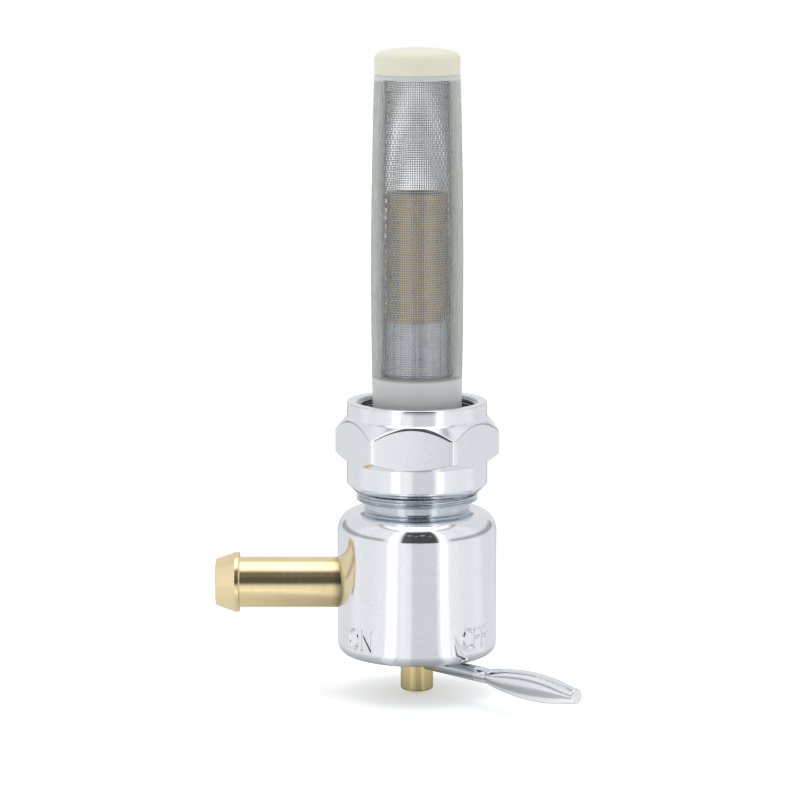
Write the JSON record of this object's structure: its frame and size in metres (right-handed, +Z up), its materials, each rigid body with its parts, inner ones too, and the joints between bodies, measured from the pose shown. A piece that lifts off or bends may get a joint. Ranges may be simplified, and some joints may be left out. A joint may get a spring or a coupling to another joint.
{
  "type": "fuel tap",
  "caption": "Chromed fuel tap with a swivelling tank nut, tall strainer and standpipe, brass hose nipple, rotary plug and side lever.",
  "frame": {"origin": "centre of the tank nut's top face, where the tank's threaded neck enters", "axes": "+Z up along the strainer into the tank, -X along the hose nipple, -Y the front with the marks"},
  "size_m": [0.0677, 0.0447, 0.121],
  "materials": {
    "chrome": "bright chrome plating",
    "brass": "turned brass",
    "clear_nylon": "translucent moulded nylon",
    "cream_plastic": "cream moulded plastic",
    "steel_wire": "fine woven stainless wire",
    "steel": "bright spring steel",
    "white_seat": "white PTFE",
    "seal_rubber": "black rubber"
  },
  "bodies": {
    "valve": {"valve_body": "chrome", "tank_gasket": "seal_rubber", "strainer_frame": "clear_nylon", "strainer_screen": "steel_wire", "strainer_cap": "cream_plastic", "standpipe": "brass", "outlet_nipple": "brass", "port_seat": "white_seat", "seat_pin": "steel", "thrust_washer": "white_seat", "disc_spring": "steel", "end_plate": "brass", "stem_seal": "seal_rubber", "retaining_ring": "steel"},
    "lever": {"lever": "chrome", "valve_plug": "brass", "plug_seal_upper": "seal_rubber", "plug_seal_lower": "seal_rubber"},
    "nut": {"union_nut": "chrome"}
  },
  "joints": [
    {"name": "lever_turn", "type": "hinge", "parent": "valve", "child": "lever", "pos_m": [0, 0, -0.04972], "axis": [0, 0, 1], "range_deg": [-90, 90]},
    {"name": "nut_turn", "type": "hinge", "parent": "valve", "child": "nut", "pos_m": [0, 0, 0], "axis": [0, 0, 1], "continuous": true}
  ]
}
